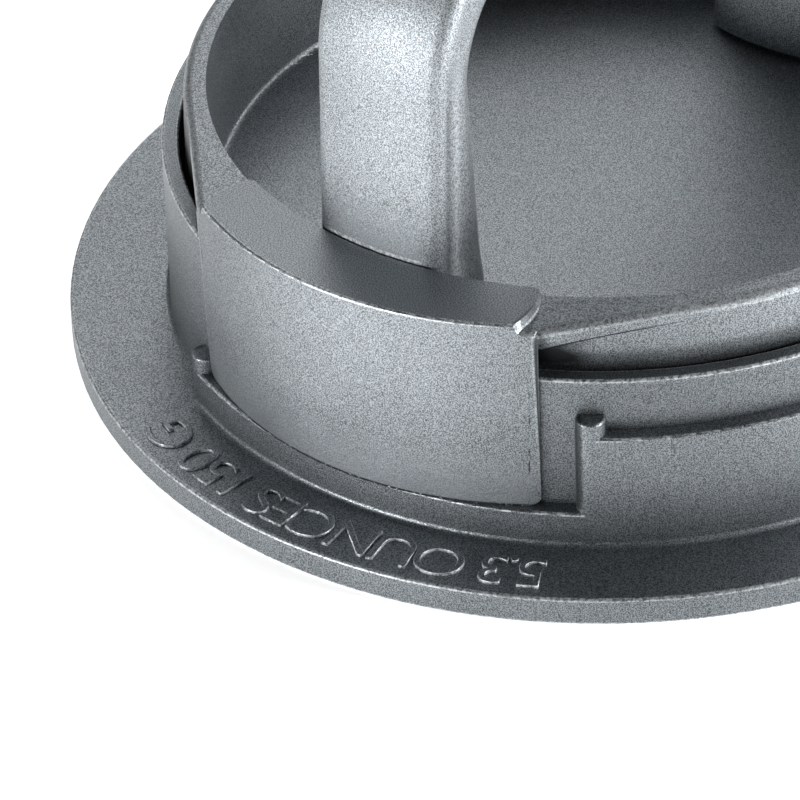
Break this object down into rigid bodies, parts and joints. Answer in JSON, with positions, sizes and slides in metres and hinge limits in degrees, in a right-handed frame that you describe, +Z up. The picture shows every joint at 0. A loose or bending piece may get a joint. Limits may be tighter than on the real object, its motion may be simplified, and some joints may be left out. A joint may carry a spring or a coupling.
{
  "type": "burger press",
  "caption": "Cast aluminium press for shaping round burgers: a dished plate under an arch handle drops into a flanged mould and stands on stepped ledges that set the thickness.",
  "frame": {"origin": "centre of the mould's flat underside, on the axis of its bore", "axes": "+Z up along the axis of the bore; the handle's arch lies in the XZ plane; the press rests on the middle pair of ledges, turned against its stops"},
  "size_m": [0.15, 0.15, 0.088],
  "materials": {
    "coated_aluminium": "cast aluminium under a thin grey non-stick coat with a fine metallic fleck, bright where edges catch the light",
    "screw_steel": "plain stainless steel"
  },
  "bodies": {
    "base": {"mould_base": "coated_aluminium"},
    "press": {"press_plate": "coated_aluminium", "handle": "coated_aluminium", "handle_screws": "screw_steel"}
  },
  "joints": [
    {"name": "press_lift", "type": "slide", "parent": "base", "child": "press", "axis": [0, 0, 1], "range_m": [0, 0.03]}
  ]
}
